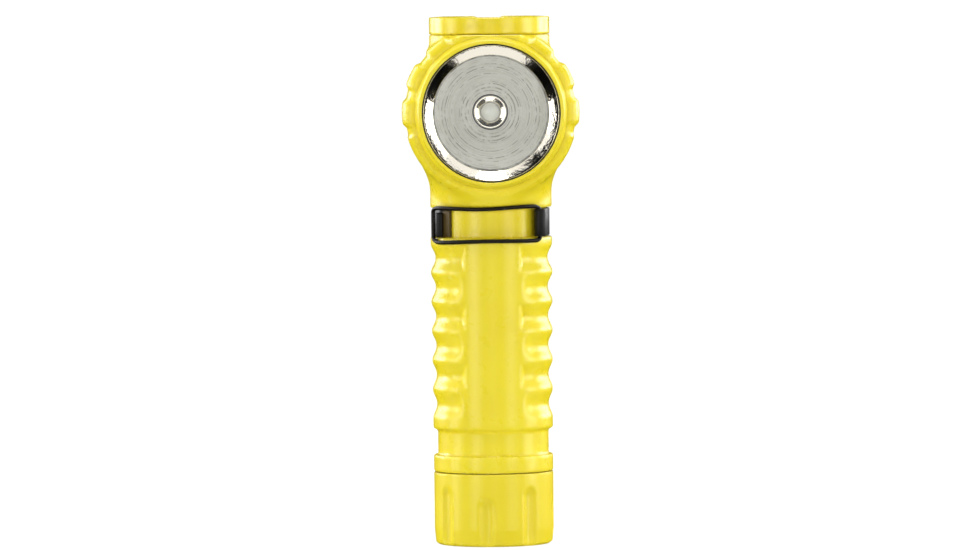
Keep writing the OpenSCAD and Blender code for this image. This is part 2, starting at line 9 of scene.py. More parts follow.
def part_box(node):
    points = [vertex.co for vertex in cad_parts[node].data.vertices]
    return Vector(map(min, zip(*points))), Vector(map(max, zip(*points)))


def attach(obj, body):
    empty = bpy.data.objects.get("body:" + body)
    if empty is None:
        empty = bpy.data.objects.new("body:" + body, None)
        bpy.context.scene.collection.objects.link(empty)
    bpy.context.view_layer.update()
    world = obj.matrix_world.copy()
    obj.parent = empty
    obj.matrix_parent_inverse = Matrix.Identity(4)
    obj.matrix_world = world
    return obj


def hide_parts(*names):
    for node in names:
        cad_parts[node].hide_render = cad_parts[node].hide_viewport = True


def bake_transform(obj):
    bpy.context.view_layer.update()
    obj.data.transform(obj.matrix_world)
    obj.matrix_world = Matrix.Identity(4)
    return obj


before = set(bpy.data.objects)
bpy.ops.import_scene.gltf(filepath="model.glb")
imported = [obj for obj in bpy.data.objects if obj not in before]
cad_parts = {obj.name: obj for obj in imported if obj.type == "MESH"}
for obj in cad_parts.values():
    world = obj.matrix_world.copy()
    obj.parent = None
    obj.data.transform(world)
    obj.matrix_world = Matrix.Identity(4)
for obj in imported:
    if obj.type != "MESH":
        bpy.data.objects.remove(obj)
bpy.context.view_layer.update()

MM = 0.001


# Driving sizes, in millimetres, read off the frame where it has them. r is a radius, z a height up the
# barrel, w a distance from the barrel's axis towards the lamp's window, and an angle is in degrees.

def node_box(node):
    low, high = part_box(node)
    return np.array(low) / MM, np.array(high) / MM


BEZEL = node_box("front_bezel")
BODY = node_box("body_shell")
CAP = node_box("tail_cap")
GUARD = node_box("switch_guard")
CHROME = node_box("chrome_ring")
LENS = node_box("lens")
BOOT = node_box("switch_boot")
BAND = node_box("clip_band")
BASE = node_box("clip_base")
ARM = node_box("clip_arm")
BAIL = node_box("wire_bail")
BOARD = node_box("led_board")

LAMP_Z = (BEZEL[0][2] + BEZEL[1][2]) / 2
RIM_R = BEZEL[1][0]
RIM_W = -BEZEL[0][1]
DRUM_W = -BODY[0][1]
BACK_W = -BODY[1][1]
LUG_R = BODY[1][0]
LUG_H = 0.9
DRUM_R = LUG_R - LUG_H
PLAIN_R = DRUM_R + LUG_H / 2
BODY_TOP = BODY[1][2]
COLLAR_Z = BODY[0][2]
GUARD_R = GUARD[1][0]
GUARD_TOP = GUARD[1][2]
SEAM_Z = BODY_TOP + 0.05
CAP_R = CAP[1][0]
CAP_TOP = CAP[1][2]
CLIP_Z = (BAND[0][2] + BAND[1][2]) / 2
BAIL_Z = (BAIL[0][2] + BAIL[1][2]) / 2
WIRE_R = 0.5
BAIL_R = -BAIL[0][1] - WIRE_R
NECK_R = BAIL_R - 0.65

# The barrel from its foot to its top
COLLAR_TOP = 22.0
WAIST_R, WAIST_TOP = 13.5, 27.6
BARREL_R, TAPER_Z = 14.6, 34.2
NECK_FOOT, NECK_Z, NECK_TOP, SHOULDER_Z = 70, 76, 90, 96
# Grip grooves: each is cut by a torus, and every second one ends in a straight wall.
GRIP_GROOVES, FIRST_GROOVE_Z, GROOVE_PITCH = 6, 34.3, 7.12
GROOVE_OUT, GROOVE_TOOL_R = 2.05, 3.0
SOFT_WALL, STRAIGHT_WALL = (7.9, 2.6), (7.2, 0.4)
# The band's groove in the neck and the clip's seat behind it
GROOVE_R, GROOVE_HALF = 13.4, 3.6
SEAT_HALF_X, SEAT_Y, SEAT_Z, SEAT_HALF_Z = 5.0, 14.3, 81.9, 8.5
# The drum: its rounded back, its lip and its lugs
BACK_FLAT_R, BACK_BEND_W = 12, -3
LIP_R, LIP_DEPTH = RIM_R + 0.1, 4.2
LUG_COUNT = 14
LUG_FLANK = (6.2, 10.8)
LUG_FADE_SINE = (-0.31, -0.24)
LUG_FADE_W = (-9, -1.5)
# Tail cap flutes
FLUTES, FIRST_FLUTE_A, FLUTE_R, FLUTE_DEPTH = 8, -98, 2.7, 0.95
FLUTE_TOPS = (12.5, 15.0)
# Lamp, band and bail
BEZEL_IN, BEZEL_BACK_W, LAMP_BORE_R = 16.75, 14.5, 17.9
APERTURE_R = 14.05
BAND_R, STEEL_T = GROOVE_R + 0.05, 0.8
HINGE_A, LEG_A = -40.4, -156.7
BEAD_R = 1.75

INNER = -6  # past the axis, so that an outline's inner edge leaves no mark on a field


# Signed distances. Every field takes arrays of x, y and z in millimetres and is negative inside.

def smooth_min(a, b, k):
    h = np.maximum(k - np.abs(a - b), 0) / k
    return np.minimum(a, b) - h * h * k / 4


def smooth_max(a, b, k):
    return -smooth_min(-a, -b, k)


def rounded(a, b, edge):
    """The meeting of two half-spaces with their shared edge rounded."""
    outside = np.hypot(np.maximum(a + edge, 0), np.maximum(b + edge, 0))
    return outside + np.minimum(np.maximum(a, b) + edge, 0) - edge


def smooth_step(x, low, high):
    t = np.clip((x - low) / (high - low), 0, 1)
    return t * t * (3 - 2 * t)


def outline_distance(r, z, points):
    """Signed distance to a closed outline in the r, z plane."""
    nearest = np.full(r.shape, 1e9)
    inside = np.zeros(r.shape, bool)
    for (r0, z0), (r1, z1) in zip(points, points[1:] + points[:1]):
        dr, dz = r1 - r0, z1 - z0
        length = dr * dr + dz * dz
        if length == 0:
            continue
        t = np.clip(((r - r0) * dr + (z - z0) * dz) / length, 0, 1)
        nearest = np.minimum(nearest, (r - r0 - t * dr) ** 2 + (z - z0 - t * dz) ** 2)
        if z0 != z1:
            crosses = ((z0 > z) != (z1 > z)) & (r < dr * (z - z0) / dz + r0)
            inside ^= crosses
    nearest = np.sqrt(nearest)
    return np.where(inside, -nearest, nearest)


def inset(points, by):
    """The outline moved inwards by a set distance, with mitred corners."""
    out = []
    area = sum(a[0] * b[1] - b[0] * a[1] for a, b in zip(points, points[1:] + points[:1]))
    turn = 1 if area > 0 else -1
    n = len(points)
    for i in range(n):
        a, b, c = (np.array(points[(i + k) % n], float) for k in (-1, 0, 1))
        u = (b - a) / np.linalg.norm(b - a)
        v = (c - b) / np.linalg.norm(c - b)
        nu = turn * np.array([-u[1], u[0]])
        nv = turn * np.array([-v[1], v[0]])
        m = nu + nv
        out.append(tuple(b + m * by * 2 / max(m @ m, 0.5)))
    return out


def turned(r, z, points, edge):
    """A turned shape whose outline corners are all rounded to the same radius."""
    return outline_distance(r, z, inset(points, edge)) - edge


def surface_nets(field, low, high, cell):
    """Vertices and quads of a field's zero surface, on a grid of cubic cells."""
    low = np.array(low, float)
    counts = np.ceil((np.array(high, float) - low) / cell).astype(int) + 1
    axes = [low[i] + cell * np.arange(counts[i]) for i in range(3)]
    grid = np.meshgrid(*axes, indexing="ij")
    values = field(*grid)
    values = np.where(np.abs(values) < 1e-9, 1e-9, values)
    inside = values < 0
    shape = counts - 1
    corners = [(dx, dy, dz) for dx in (0, 1) for dy in (0, 1) for dz in (0, 1)]
    full = sum(inside[dx:shape[0] + dx, dy:shape[1] + dy, dz:shape[2] + dz].astype(np.int8)
               for dx, dy, dz in corners)
    active = (full > 0) & (full < 8)
    cells = np.argwhere(active)
    index = np.full(shape, -1)
    index[active] = np.arange(len(cells))
    total = np.zeros((len(cells), 3))
    hits = np.zeros(len(cells))
    for axis in range(3):
        others = [i for i in range(3) if i != axis]
        for du in (0, 1):
            for dv in (0, 1):
                start = np.zeros(3, int)
                start[others[0]], start[others[1]] = du, dv
                step = np.zeros(3, int)
                step[axis] = 1
                a = cells + start
                b = a + step
                va = values[a[:, 0], a[:, 1], a[:, 2]]
                vb = values[b[:, 0], b[:, 1], b[:, 2]]
                cross = (va < 0) != (vb < 0)
                t = np.where(cross, va / np.where(cross, va - vb, 1), 0)
                total += cross[:, None] * (a + t[:, None] * step)
                hits += cross
    points = low + cell * total / hits[:, None]
    quads = []
    for axis in range(3):
        u, v = (axis + 1) % 3, (axis + 2) % 3
        first = [slice(0, n) for n in shape]
        first[u] = slice(1, shape[u])
        first[v] = slice(1, shape[v])
        second = list(first)
        second[axis] = slice(1, shape[axis] + 1)
        here, there = inside[tuple(first)], inside[tuple(second)]
        edges = np.argwhere(here != there)
        offset = np.array([s.start for s in first])
        at = edges + offset
        leaving = here[edges[:, 0], edges[:, 1], edges[:, 2]]
        eu, ev = np.zeros(3, int), np.zeros(3, int)
        eu[u], ev[v] = 1, 1
        ring = [at - eu - ev, at - ev, at, at - eu]
        ids = np.stack([index[c[:, 0], c[:, 1], c[:, 2]] for c in ring], axis=1)
        quads.append(np.where(leaving[:, None], ids, ids[:, ::-1]))
    quads = np.concatenate(quads)
    return settle(field, points, quads, cell), quads


def gradient(field, p, step=0.01):
    g = np.empty_like(p)
    for axis in range(3):
        d = np.zeros(3)
        d[axis] = step
        g[:, axis] = field(*(p + d).T) - field(*(p - d).T)
    return g / (2 * step)


def settle(field, points, quads, cell):
    """Evens the net out along the surface and puts every vertex on the surface."""
    starts = points.copy()
    for _ in range(2):
        total = np.zeros_like(points)
        hits = np.zeros(len(points))
        for k in range(4):
            a, b = quads[:, k], quads[:, (k + 1) % 4]
            np.add.at(total, a, points[b])
            np.add.at(total, b, points[a])
            np.add.at(hits, a, 1)
            np.add.at(hits, b, 1)
        points = points + 0.6 * (total / hits[:, None] - points)
        points = on_surface(field, points, starts, cell)
    return on_surface(field, points, starts, cell)


def on_surface(field, points, starts, cell):
    for _ in range(2):
        g = gradient(field, points)
        size = np.maximum((g * g).sum(1), 0.05)
        points = points - g * (field(*points.T) / size)[:, None]
        points = np.clip(points, starts - cell * 0.7, starts + cell * 0.7)
    return points


# Meshes

def new_object(name, points, faces, smooth_angle=None):
    mesh = bpy.data.meshes.new(name)
    mesh.from_pydata((np.asarray(points) * MM).tolist(), [], [list(map(int, f)) for f in faces])
    mesh.update()
    obj = bpy.data.objects.new(name, mesh)
    bpy.context.scene.collection.objects.link(obj)
    mesh.polygons.foreach_set("use_smooth", [True] * len(mesh.polygons))
    if smooth_angle is not None:
        mesh.set_sharp_from_angle(angle=math.radians(smooth_angle))
    return obj


def round_corners(points, radii, arc_n=6):
    """A closed outline with its corners turned into arcs; radii holds one radius per corner."""
    n = len(points)
    out = []
    for i in range(n):
        a, b, c = (np.array(points[(i + k) % n], float) for k in (-1, 0, 1))
        radius = radii[i] if isinstance(radii, (list, tuple)) else radii
        u, v = a - b, c - b
        lu, lv = np.linalg.norm(u), np.linalg.norm(v)
        u, v = u / lu, v / lv
        cosine = float(np.clip(u @ v, -1, 1))
        half = math.acos(cosine) / 2
        if radius <= 0 or half > math.radians(85):
            out.append(tuple(b))
            continue
        reach = min(radius / math.tan(half), 0.48 * lu, 0.48 * lv)
        radius = reach * math.tan(half)
        centre = b + (u + v) / np.linalg.norm(u + v) * radius / math.sin(half)
        p, q = b + u * reach - centre, b + v * reach - centre
        a0, a1 = math.atan2(p[1], p[0]), math.atan2(q[1], q[0])
        sweep = (a1 - a0 + math.pi) % (2 * math.pi) - math.pi
        for k in range(arc_n + 1):
            t = a0 + sweep * k / arc_n
            out.append((centre[0] + radius * math.cos(t), centre[1] + radius * math.sin(t)))
    return out


def lathe(name, outline, lamp=False, segments=160, smooth_angle=35):
    """A closed outline of (radius, height) turned about the barrel's axis, or about the lamp's."""
    points, rows = [], []
    for r, h in outline:
        if r < 1e-6:
            rows.append([len(points)])
            points.append((0.0, 0.0, h))
            continue
        rows.append(list(range(len(points), len(points) + segments)))
        for k in range(segments):
            a = 2 * math.pi * k / segments
            points.append((r * math.cos(a), r * math.sin(a), h))
    faces = []
    n = len(rows)
    for i in range(n):
        a, b = rows[i], rows[(i + 1) % n]
        if len(a) == 1 and len(b) == 1:
            continue
        for k in range(segments):
            m = (k + 1) % segments
            if len(a) == 1:
                faces.append((a[0], b[m], b[k]))
            elif len(b) == 1:
                faces.append((a[k], a[m], b[0]))
            else:
                faces.append((a[k], a[m], b[m], b[k]))
    area = sum(p[0] * q[1] - q[0] * p[1] for p, q in zip(outline, outline[1:] + outline[:1]))
    if area < 0:
        faces = [f[::-1] for f in faces]
    points = np.array(points)
    if lamp:
        points = np.stack([points[:, 0], -points[:, 2], LAMP_Z + points[:, 1]], axis=1)
    return new_object(name, points, faces, smooth_angle)


def sweep(name, path, across, up, outline, closed=False, smooth_angle=40):
    """A section swept along a path; across and up give each point's section directions."""
    n, m = len(path), len(outline)
    points = [p + a * s + u * t for p, a, u in zip(path, across, up) for s, t in outline]
    turns = n if closed else n - 1
    faces = []
    for i in range(turns):
        j = (i + 1) % n
        for k in range(m):
            l = (k + 1) % m
            faces.append((i * m + k, i * m + l, j * m + l, j * m + k))
    if not closed:
        faces.append(tuple(range(m - 1, -1, -1)))
        faces.append(tuple((n - 1) * m + k for k in range(m)))
    obj = new_object(name, points, faces, smooth_angle)
    fix_normals(obj)
    return obj


def fix_normals(obj):
    bm = bmesh.new()
    bm.from_mesh(obj.data)
    bmesh.ops.recalc_face_normals(bm, faces=bm.faces)
    bm.to_mesh(obj.data)
    bm.free()


def section(width, thickness, edge, arc_n=3):
    """A rounded rectangle, width along the first direction."""
    w, t = width / 2, thickness / 2
    return round_corners([(-w, -t), (w, -t), (w, t), (-w, t)], edge, arc_n)


def circle(radius, sides):
    turns = [2 * math.pi * k / sides for k in range(sides)]
    return [(radius * math.cos(a), radius * math.sin(a)) for a in turns]


def cut(obj, cutters):
    """Takes the cutters away from a piece and makes the result its mesh."""
    for cutter in cutters:
        modifier = obj.modifiers.new("cut", "BOOLEAN")
        modifier.operation = "DIFFERENCE"
        modifier.solver = "MANIFOLD"
        modifier.object = cutter
    graph = bpy.context.evaluated_depsgraph_get()
    mesh = bpy.data.meshes.new_from_object(obj.evaluated_get(graph))
    obj.modifiers.clear()
    old = obj.data
    obj.data = mesh
    bpy.data.meshes.remove(old)
    for cutter in cutters:
        data = cutter.data
        bpy.data.objects.remove(cutter)
        bpy.data.meshes.remove(data)
    obj.data.polygons.foreach_set("use_smooth", [True] * len(obj.data.polygons))
    obj.data.set_sharp_from_angle(angle=math.radians(38))


def polar(r, degrees):
    a = math.radians(degrees)
    return np.array([r * math.cos(a), r * math.sin(a)])


# Body moulding: barrel, neck, drum and collar as one field

def barrel_field(x, y, z):
    r = np.hypot(x, y)
    past_top = LAMP_Z + 30
    outline = [
        (INNER, COLLAR_Z), (CAP_R, COLLAR_Z), (CAP_R, COLLAR_TOP), (WAIST_R, COLLAR_TOP),
        (WAIST_R, WAIST_TOP + 0.2), (BARREL_R, WAIST_TOP + 0.9), (BARREL_R, TAPER_Z),
        (NECK_R + 0.05, NECK_FOOT), (NECK_R, NECK_Z), (NECK_R, NECK_TOP),
        (GUARD_R, SHOULDER_Z), (GUARD_R, past_top), (INNER, past_top)]
    return turned(r, z, outline, 0.42)


def lug_radius(angle):
    """Outline radius of the drum at an angle about the lamp's axis, from +X, in degrees."""
    pitch = 360 / LUG_COUNT
    off = np.abs((angle + pitch / 2) % pitch - pitch / 2)
    lug = 1 - smooth_step(off, *LUG_FLANK)
    plain = (PLAIN_R - DRUM_R) / LUG_H
    lugged = smooth_step(np.sin(np.radians(angle)), *LUG_FADE_SINE)
    return DRUM_R + LUG_H * (lug * lugged + plain * (1 - lugged))


def drum_field(x, y, z):
    w, pz = -y, z - LAMP_Z
    angle = np.degrees(np.arctan2(pz, x))
    lugs = smooth_step(w, *LUG_FADE_W)
    r = np.hypot(x, pz) - (lug_radius(angle) - PLAIN_R) * lugs
    back = [(BACK_FLAT_R + (PLAIN_R - BACK_FLAT_R) * math.cos(a),
             BACK_BEND_W + (BACK_BEND_W - BACK_W) * math.sin(a))
            for a in np.radians(np.linspace(-90, 0, 14))]
    front = [(LIP_R + (PLAIN_R - LIP_R) * math.cos(a), DRUM_W - LIP_DEPTH * (1 - math.sin(a)))
             for a in np.radians(np.linspace(0, 90, 14))]
    return outline_distance(r, w, [(INNER, BACK_W)] + back + front + [(INNER, DRUM_W)])


def groove_field(x, y, z):
    r = np.hypot(x, y)
    out = np.full(x.shape, 1e3)
    for i in range(GRIP_GROOVES):
        wall, blend = STRAIGHT_WALL if i % 2 == 1 else SOFT_WALL
        centre_z = FIRST_GROOVE_Z + GROOVE_PITCH * i
        torus = np.hypot(r - (BARREL_R + GROOVE_OUT), z - centre_z) - GROOVE_TOOL_R
        out = np.minimum(out, smooth_max(torus, wall - np.abs(x), blend))
    return out


def body_field(x, y, z):
    r = np.hypot(x, y)
    # The drum flows into the neck below it with a wide fillet in front and a tighter one behind.
    below = smooth_step(LAMP_Z - z, 8, 14)
    front, back = smooth_step(-y, 2, 9), smooth_step(y, 2, 9)
    fillet = 1.0 + (2.5 + 1.0 * front - 1.6 * back) * below
    d = smooth_min(barrel_field(x, y, z), drum_field(x, y, z), fillet)
    d = rounded(d, z - BODY_TOP, 0.35)
    band = np.maximum(GROOVE_R - r, np.abs(z - CLIP_Z) - GROOVE_HALF)
    d = smooth_max(d, -band, 0.35)
    seat_sides = np.maximum(np.abs(x) - SEAT_HALF_X, SEAT_Y - y)
    seat = np.maximum(seat_sides, np.abs(z - SEAT_Z) - SEAT_HALF_Z)
    d = smooth_max(d, -seat, 0.35)
    return smooth_max(d, -groove_field(x, y, z), 1.1)


def make_body():
    low = (-LUG_R - 0.6, -DRUM_W - 0.6, COLLAR_Z - 0.6)
    high = (LUG_R + 0.6, -BACK_W + 2.2, BODY_TOP + 0.6)
    cell = 0.44
    points, quads = surface_nets(body_field, low, high, cell)
    obj = new_object("body_moulding", points, quads)
    tail_r, tube_r, tube_stop, tube_end = 11.65, 10.7, 20.05, 89.4
    tube = [(0, COLLAR_Z - 1), (tail_r, COLLAR_Z - 1), (tail_r, tube_stop), (tube_r, tube_stop),
            (tube_r, tube_end), (0, tube_end)]
    driver_r, sink_r, lens_r = 11.9, 12.5, 17.95
    driver_w, sink_w, bowl_w, past_front = -9, -3, 11.2, DRUM_W + 1
    bores = [(0, driver_w), (driver_r, driver_w), (driver_r, sink_w), (sink_r, sink_w),
             (sink_r, bowl_w), (lens_r, bowl_w), (lens_r, past_front), (0, past_front)]
    well_r, well_floor = 10.2, 118.5
    well = [(0, well_floor), (well_r, well_floor), (well_r, BODY_TOP + 1), (0, BODY_TOP + 1)]
    room = lathe("room", [(0, 84), (5, 84), (5, 98), (0, 98)], segments=48)
    room.data.transform(Matrix.Translation((0, 4 * MM, 0)))
    duct = lathe("duct", [(0, 112), (2.2, 112), (2.2, 120), (0, 120)], segments=32)
    duct.data.transform(Matrix.Translation((0, 5.5 * MM, 0)))
    cut(obj, [lathe("tube", tube), lathe("bores", bores, lamp=True), lathe("well", well), room, duct])
    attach(obj, "housing")
    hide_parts("body_shell")
    return obj


# Tail cap with its flutes and thread

def cap_field(x, y, z):
    r = np.hypot(x, y)
    outline = [(INNER, 0), (CAP_R - 0.4, 0), (CAP_R, 4), (CAP_R, CAP_TOP), (INNER, CAP_TOP)]
    skin = turned(r, z, outline, 0.3)
    d = np.maximum(skin, rounded(r - CAP_R, -z, 1.7))
    for i in range(FLUTES):
        ball_z = FLUTE_TOPS[i % 2] - FLUTE_R
        centre = polar(CAP_R + FLUTE_R - FLUTE_DEPTH, FIRST_FLUTE_A + 360 / FLUTES * i)
        away = np.hypot(x - centre[0], y - centre[1])
        flute = np.where(z < ball_z, away, np.sqrt(away ** 2 + (z - ball_z) ** 2)) - FLUTE_R
        d = smooth_max(d, -flute, 0.45)
    return d


def make_cap():
    reach = 15.4
    low, high = (-reach, -reach, -0.6), (reach, reach, CAP_TOP + 0.6)
    cell = 0.34
    points, quads = surface_nets(cap_field, low, high, cell)
    obj = new_object("tail_cap_moulding", points, quads)
    floor, thread_r, thread_top, mouth_r = 3, 12.45, 13.8, 12.8
    bore = [(0, floor), (thread_r, floor), (thread_r, thread_top), (mouth_r, thread_top),
            (mouth_r, CAP_TOP + 1), (0, CAP_TOP + 1)]
    cut(obj, [lathe("bore", bore)])
    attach(obj, "tail_cap")
    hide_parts("tail_cap")
    return obj


# Switch guard with its two thumb dips

def guard_field(x, y, z):
    r = np.hypot(x, y)
    bore_r, skirt_in, skirt_out, skirt_z = 9.0, 9.55, 10.15, 122.2
    outline = [(skirt_in, skirt_z), (skirt_out, skirt_z), (skirt_out, SEAM_Z), (GUARD_R, SEAM_Z),
               (GUARD_R, GUARD_TOP - 0.2), (GUARD_R - 3, GUARD_TOP), (10.4, GUARD_TOP),
               (bore_r, GUARD_TOP - 1.2), (bore_r, SEAM_Z), (skirt_in, SEAM_Z)]
    d = turned(r, z, outline, 0.25)
    # A thumb dip is a shallow flat trough with sloping ends, cut across the top from front to back.
    dip_depth, dip_half, dip_slope = 0.35, 2.8, 1.7
    slant = 1.97  # what one millimetre across adds along the end's slope
    floor = z - GUARD_TOP + dip_depth
    dip = np.maximum(-floor, (np.abs(x) - dip_half - dip_slope * floor) / slant)
    return smooth_max(d, -dip, 0.25)


def make_guard():
    reach = 15.3
    low, high = (-reach, -reach, 121.7), (reach, reach, GUARD_TOP + 0.5)
    cell = 0.26
    points, quads = surface_nets(guard_field, low, high, cell)
    obj = new_object("switch_guard_moulding", points, quads)
    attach(obj, "housing")
    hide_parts("switch_guard")
    return obj


# Lamp pieces

def make_lamp():
    pieces = {}
    seat = DRUM_W + 0.05
    rim = [(BEZEL_IN, BEZEL_BACK_W), (LAMP_BORE_R, BEZEL_BACK_W), (LAMP_BORE_R, seat), (RIM_R, seat),
           (RIM_R - 0.12, seat + 0.5), (RIM_R - 0.45, seat + 1.6), (RIM_R - 0.85, RIM_W),
           (BEZEL_IN, RIM_W)]
    rim = round_corners(rim, [0, 0, 0, 0.05, 0.5, 2.0, 0.5, 0.3], 8)
    pieces["bezel"] = lathe("bezel_rim", rim, True, 192)
    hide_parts("front_bezel")

    # The ring's bevel sinks towards the window and is slightly crowned.
    ring_out = CHROME[1][0]
    chrome_front, chrome_back = -CHROME[0][1], -CHROME[1][1]
    slope_r, slope_w, crown = ring_out - APERTURE_R, 1.7, 0.2
    bevel = [(ring_out - slope_r * t, chrome_front - slope_w * t - crown * t * (t - 1))
             for t in np.linspace(0, 1, 13)[2:]]
    outer_edge = [(ring_out, chrome_front - 0.28), (ring_out - 0.1, chrome_front - 0.08)]
    ring = [(APERTURE_R, chrome_back), (ring_out, chrome_back)] + outer_edge + bevel
    ring = round_corners(ring, [0, 0, 0.3, 0.3] + [0] * 10 + [0.16], 6)
    pieces["chrome"] = lathe("lens_retaining_ring", ring, True, 192, 50)
    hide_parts("chrome_ring")

    gasket_back, gasket_front = chrome_front - 1.2, chrome_front - 0.25
    gasket = [(ring_out, gasket_back), (BEZEL_IN, gasket_back), (BEZEL_IN, gasket_front),
              (BEZEL_IN - 0.08, chrome_front - 0.15), (ring_out, gasket_front)]
    pieces["gasket"] = lathe("bezel_seal_line", gasket, True, 192)
    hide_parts("bezel_gasket")

    lens_r, lens_back, lens_front = LENS[1][0], -LENS[1][1], -LENS[0][1]
    lens = [(0, lens_back), (lens_r, lens_back), (lens_r, lens_front), (0, lens_front)]
    pieces["lens"] = lathe("lens_window", round_corners(lens, [0, 0.25, 0.25, 0], 4), True, 160)
    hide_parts("lens")

    # The bowl is a paraboloid, open at the bottom for the LED, with a flange under the lens.
    depth, front, hole_r, wall, flange_t = 13.5, 16.1, 4.35, 0.8, 0.9
    vertex = front - depth
    mouth_r = APERTURE_R - 0.05
    widening = mouth_r * mouth_r / depth
    inner = [(math.sqrt(widening * d), vertex + d)
             for d in np.linspace(hole_r ** 2 / widening, depth, 64)]
    outer = [(r + wall, h - 0.2) for r, h in inner[::-1] if h < front - 1.2]
    flange = [(lens_r, front), (lens_r, front - flange_t), (inner[-1][0] + 0.7, front - flange_t)]
    pieces["reflector"] = lathe("reflector_bowl", inner + flange + outer, True, 192)
    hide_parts("reflector")

    led_w = -BOARD[0][1] + 0.7
    ring_in, ring_r, dome_r = 2.45, 4.0, 2.35
    ring = [(ring_in, led_w), (ring_r, led_w), (ring_r, led_w + 0.95), (ring_r - 0.38, led_w + 0.95),
            (ring_in, led_w + 0.5)]
    ring = round_corners(ring, [0, 0, 0.25, 0.25, 0.12], 6)
    pieces["led_ring"] = lathe("led_trim_ring", ring, True, 96)
    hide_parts("led_ring")
    dome = [(0, led_w)] + [(dome_r * math.cos(a), led_w + dome_r * math.sin(a))
                           for a in np.radians(np.linspace(0, 90, 20))]
    dome[-1] = (0, led_w + dome_r)
    pieces["led_dome"] = lathe("led_lens", dome, True, 96)
    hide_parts("led_dome")
    for piece in pieces.values():
        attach(piece, "housing")
    return pieces


# Rubber boot over the button

def make_boot():
    low, top, flange_r = BOOT[0][2], BOOT[1][2], BOOT[1][0]
    out_r, wall, shoulder = 8.8, 1.0, 125.4
    in_r = out_r - wall
    quarter = np.linspace(0, 90, 26)
    crown = [(out_r * math.cos(a), shoulder + (top - shoulder) * math.sin(a))
             for a in np.radians(quarter)]
    under = [(in_r * math.cos(a), shoulder + (top - wall - shoulder) * math.sin(a))
             for a in np.radians(quarter[::-1])]
    crown[-1], under[0] = (0, top), (0, top - wall)
    flange_top = SEAM_Z - 0.05
    outline = [(in_r, low), (flange_r, low), (flange_r, flange_top)]
    outline += [(out_r, z) for z in np.linspace(flange_top, shoulder - 0.2, 5)] + crown + under
    outline += [(in_r, z) for z in np.linspace(shoulder - 0.3, low + 0.3, 6)]
    obj = lathe("switch_boot_dome", outline, segments=96)
    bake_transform(obj)
    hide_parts("switch_boot")
    return obj


# Neck band with its rolled knuckle and bead, clip, rivets and bail

def ribbon_frames(line):
    """The points of a flat line as arrays, and the line's unit normal at each."""
    line = [np.array(p, float) for p in line]
    normals = []
    for i in range(len(line)):
        d = line[min(i + 1, len(line) - 1)] - line[max(i - 1, 0)]
        d = d / np.linalg.norm(d)
        normals.append(np.array([-d[1], d[0]]))
    return line, normals


def make_band():
    mid = BAND_R + STEEL_T / 2
    hinge = polar(BAIL_R, HINGE_A)
    bead = polar(14.45, LEG_A) + polar(BEAD_R, LEG_A + 90)
    # The knuckle curls round the bail's leg, and from it the strip runs round the back to the bead.
    roll_r, roll_start, roll_sweep = WIRE_R + 0.12 + 0.4, HINGE_A + 125, 305
    knuckle = [hinge + polar(roll_r, roll_start - roll_sweep * k / 36) for k in range(37)]
    start_a = HINGE_A + 9
    end_a = 360 + math.degrees(math.atan2(bead[1], bead[0])) + 13.5
    arc = [polar(mid, start_a + (end_a - start_a) * k / 150) for k in range(151)]
    line, normals = ribbon_frames(knuckle + arc)
    path = [np.array([p[0], p[1], CLIP_Z]) for p in line]
    across = [np.array([0, 0, 1.0])] * len(line)
    up = [np.array([n[0], n[1], 0]) for n in normals]
    strip = sweep("neck_band", path, across, up, section(BAND[1][2] - BAND[0][2], 0.78, 0.18))
    half, pin_r, tube_r = 2.95, 0.25, 1.0
    tube = round_corners([(pin_r, -half), (tube_r, -half), (tube_r, half), (pin_r, half)],
                         [0.1, 0.25, 0.25, 0.1], 4)
    rolled = lathe("band_bead", tube, segments=48)
    rolled.data.transform(Matrix.Translation((bead[0] * MM, bead[1] * MM, BAIL_Z * MM)))
    for piece in (strip, rolled):
        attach(piece, "housing")
        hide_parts("clip_band")
    return [strip, rolled]


def cubic(a, da, b, db, n):
    """Points along a cubic curve from a to b, leaving along da and arriving along db; a is left out."""
    u = np.linspace(0, 1, n + 1)[1:, None]
    v = 1 - u
    return list(a * v ** 3 + 3 * (a + da) * u * v ** 2 + 3 * (b - db) * u * u * v + b * u ** 3)


